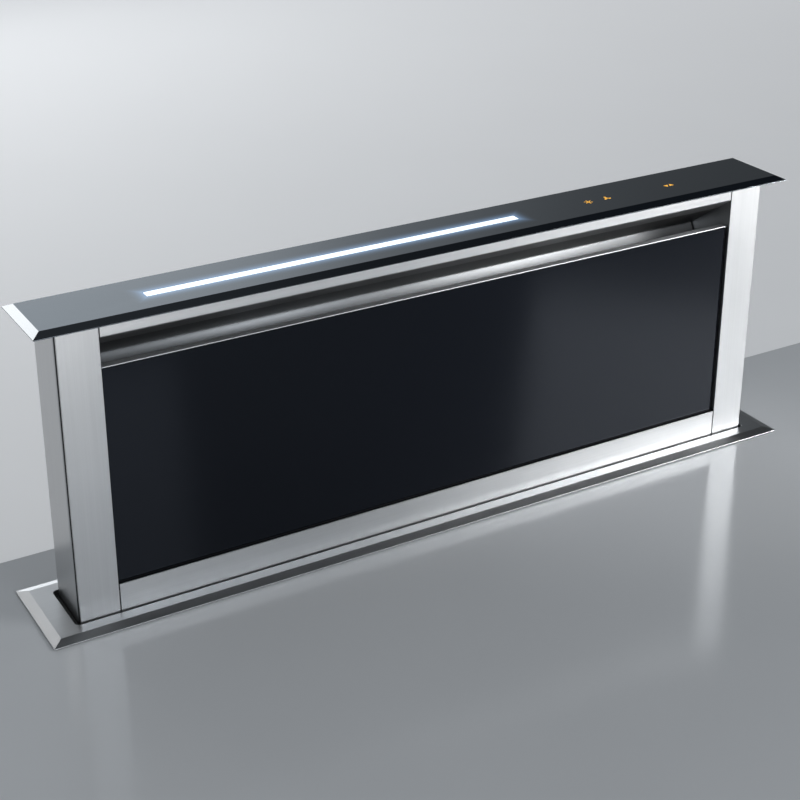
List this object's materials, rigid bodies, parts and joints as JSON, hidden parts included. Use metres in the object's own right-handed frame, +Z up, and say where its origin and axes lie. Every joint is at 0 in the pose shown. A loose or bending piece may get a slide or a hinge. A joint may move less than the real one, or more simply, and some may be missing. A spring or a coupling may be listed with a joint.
{
  "type": "worktop downdraft hood",
  "caption": "Slim cooker hood that rises out of a worktop: glass cap with a light strip, steel posts, tilting black glass panel, intake gap, sunk casing with blower.",
  "frame": {"origin": "centre of the worktop cut-out, on the worktop's surface, under the flange seal", "axes": "+Z up out of the worktop, front towards -Y, +X to the right seen from the front"},
  "size_m": [0.88, 0.2642, 0.974],
  "materials": {
    "stainless": "brushed",
    "black_glass": "gloss",
    "zinc_sheet": "satin",
    "bright_steel": "machined",
    "aluminium": "satin",
    "dark_plastic": "matte",
    "pale_plastic": "matte",
    "rubber": "matte",
    "light_strip": "opal",
    "circuit_board": "lacquered",
    "motor_paint": "satin"
  },
  "bodies": {
    "casing": {"trim_flange": "stainless", "casing_rear": "zinc_sheet", "casing_front": "zinc_sheet", "blower_plate": "zinc_sheet", "casing_floor": "zinc_sheet", "volute_housing": "zinc_sheet", "outlet_transition": "zinc_sheet", "foot_left": "zinc_sheet", "foot_right": "zinc_sheet", "worktop_brackets": "zinc_sheet", "electronics_box": "zinc_sheet", "flap_pin": "bright_steel", "rack_left": "bright_steel", "rack_right": "bright_steel", "guide_rail_left": "aluminium", "guide_rail_right": "aluminium", "end_sensors": "dark_plastic", "cable_gland": "dark_plastic", "duct_spigot": "dark_plastic", "electronics_cover": "dark_plastic", "flange_seal": "rubber", "slot_gasket": "rubber", "blower_motor": "motor_paint"},
    "carriage": {"cap_glass": "black_glass", "cap_carrier": "zinc_sheet", "led_diffuser": "light_strip", "led_board": "circuit_board", "touch_board": "circuit_board", "post_left": "stainless", "post_right": "stainless", "side_panel_left": "stainless", "side_panel_right": "stainless", "back_panel": "stainless", "top_rail": "stainless", "intake_deflector": "stainless", "lower_panel": "stainless", "filter_frame_left": "aluminium", "filter_frame_right": "aluminium", "filter_mesh_left": "aluminium", "filter_mesh_right": "aluminium", "filter_ledge": "zinc_sheet", "carriage_base": "zinc_sheet", "guide_shoes": "dark_plastic", "lift_gearbox": "aluminium", "lift_motor": "motor_paint", "shaft_bearings": "dark_plastic", "panel_catches": "dark_plastic", "panel_bushes": "dark_plastic"},
    "drive_shaft": {"cross_shaft": "bright_steel", "pinion_left": "pale_plastic", "pinion_right": "pale_plastic"},
    "front_panel": {"front_glass": "black_glass", "panel_frame": "zinc_sheet", "panel_top_trim": "stainless", "panel_hinge_rail": "aluminium"},
    "impeller": {"impeller": "dark_plastic"},
    "flap_front": {"flap_front": "dark_plastic"},
    "flap_rear": {"flap_rear": "dark_plastic"}
  },
  "joints": [
    {"name": "lift", "type": "slide", "parent": "casing", "child": "carriage", "axis": [0, 0, 1], "range_m": [-0.303, 0]},
    {"name": "drive_turn", "type": "hinge", "parent": "carriage", "child": "drive_shaft", "pos_m": [0, 0.015, -0.12], "axis": [1, 0, 0], "range_deg": [-5, 830]},
    {"name": "panel_tilt", "type": "hinge", "parent": "carriage", "child": "front_panel", "pos_m": [0, -0.026, 0.031], "axis": [1, 0, 0], "range_deg": [0, 25]},
    {"name": "wheel_spin", "type": "hinge", "parent": "casing", "child": "impeller", "pos_m": [0.02, -0.1, -0.43], "axis": [0, 1, 0], "continuous": true},
    {"name": "front_flap_swing", "type": "hinge", "parent": "casing", "child": "flap_front", "pos_m": [0.254, -0.1327, -0.5695], "axis": [0, 0, 1], "range_deg": [0, 75], "stiffness_Nm_per_rad": 0.003},
    {"name": "rear_flap_swing", "type": "hinge", "parent": "casing", "child": "flap_rear", "pos_m": [0.254, -0.1327, -0.5695], "axis": [0, 0, 1], "range_deg": [-75, 0], "stiffness_Nm_per_rad": 0.003}
  ],
  "couplings": [
    {"joint": "drive_turn", "follows": "lift", "rad_per_m": -47.619}
  ]
}
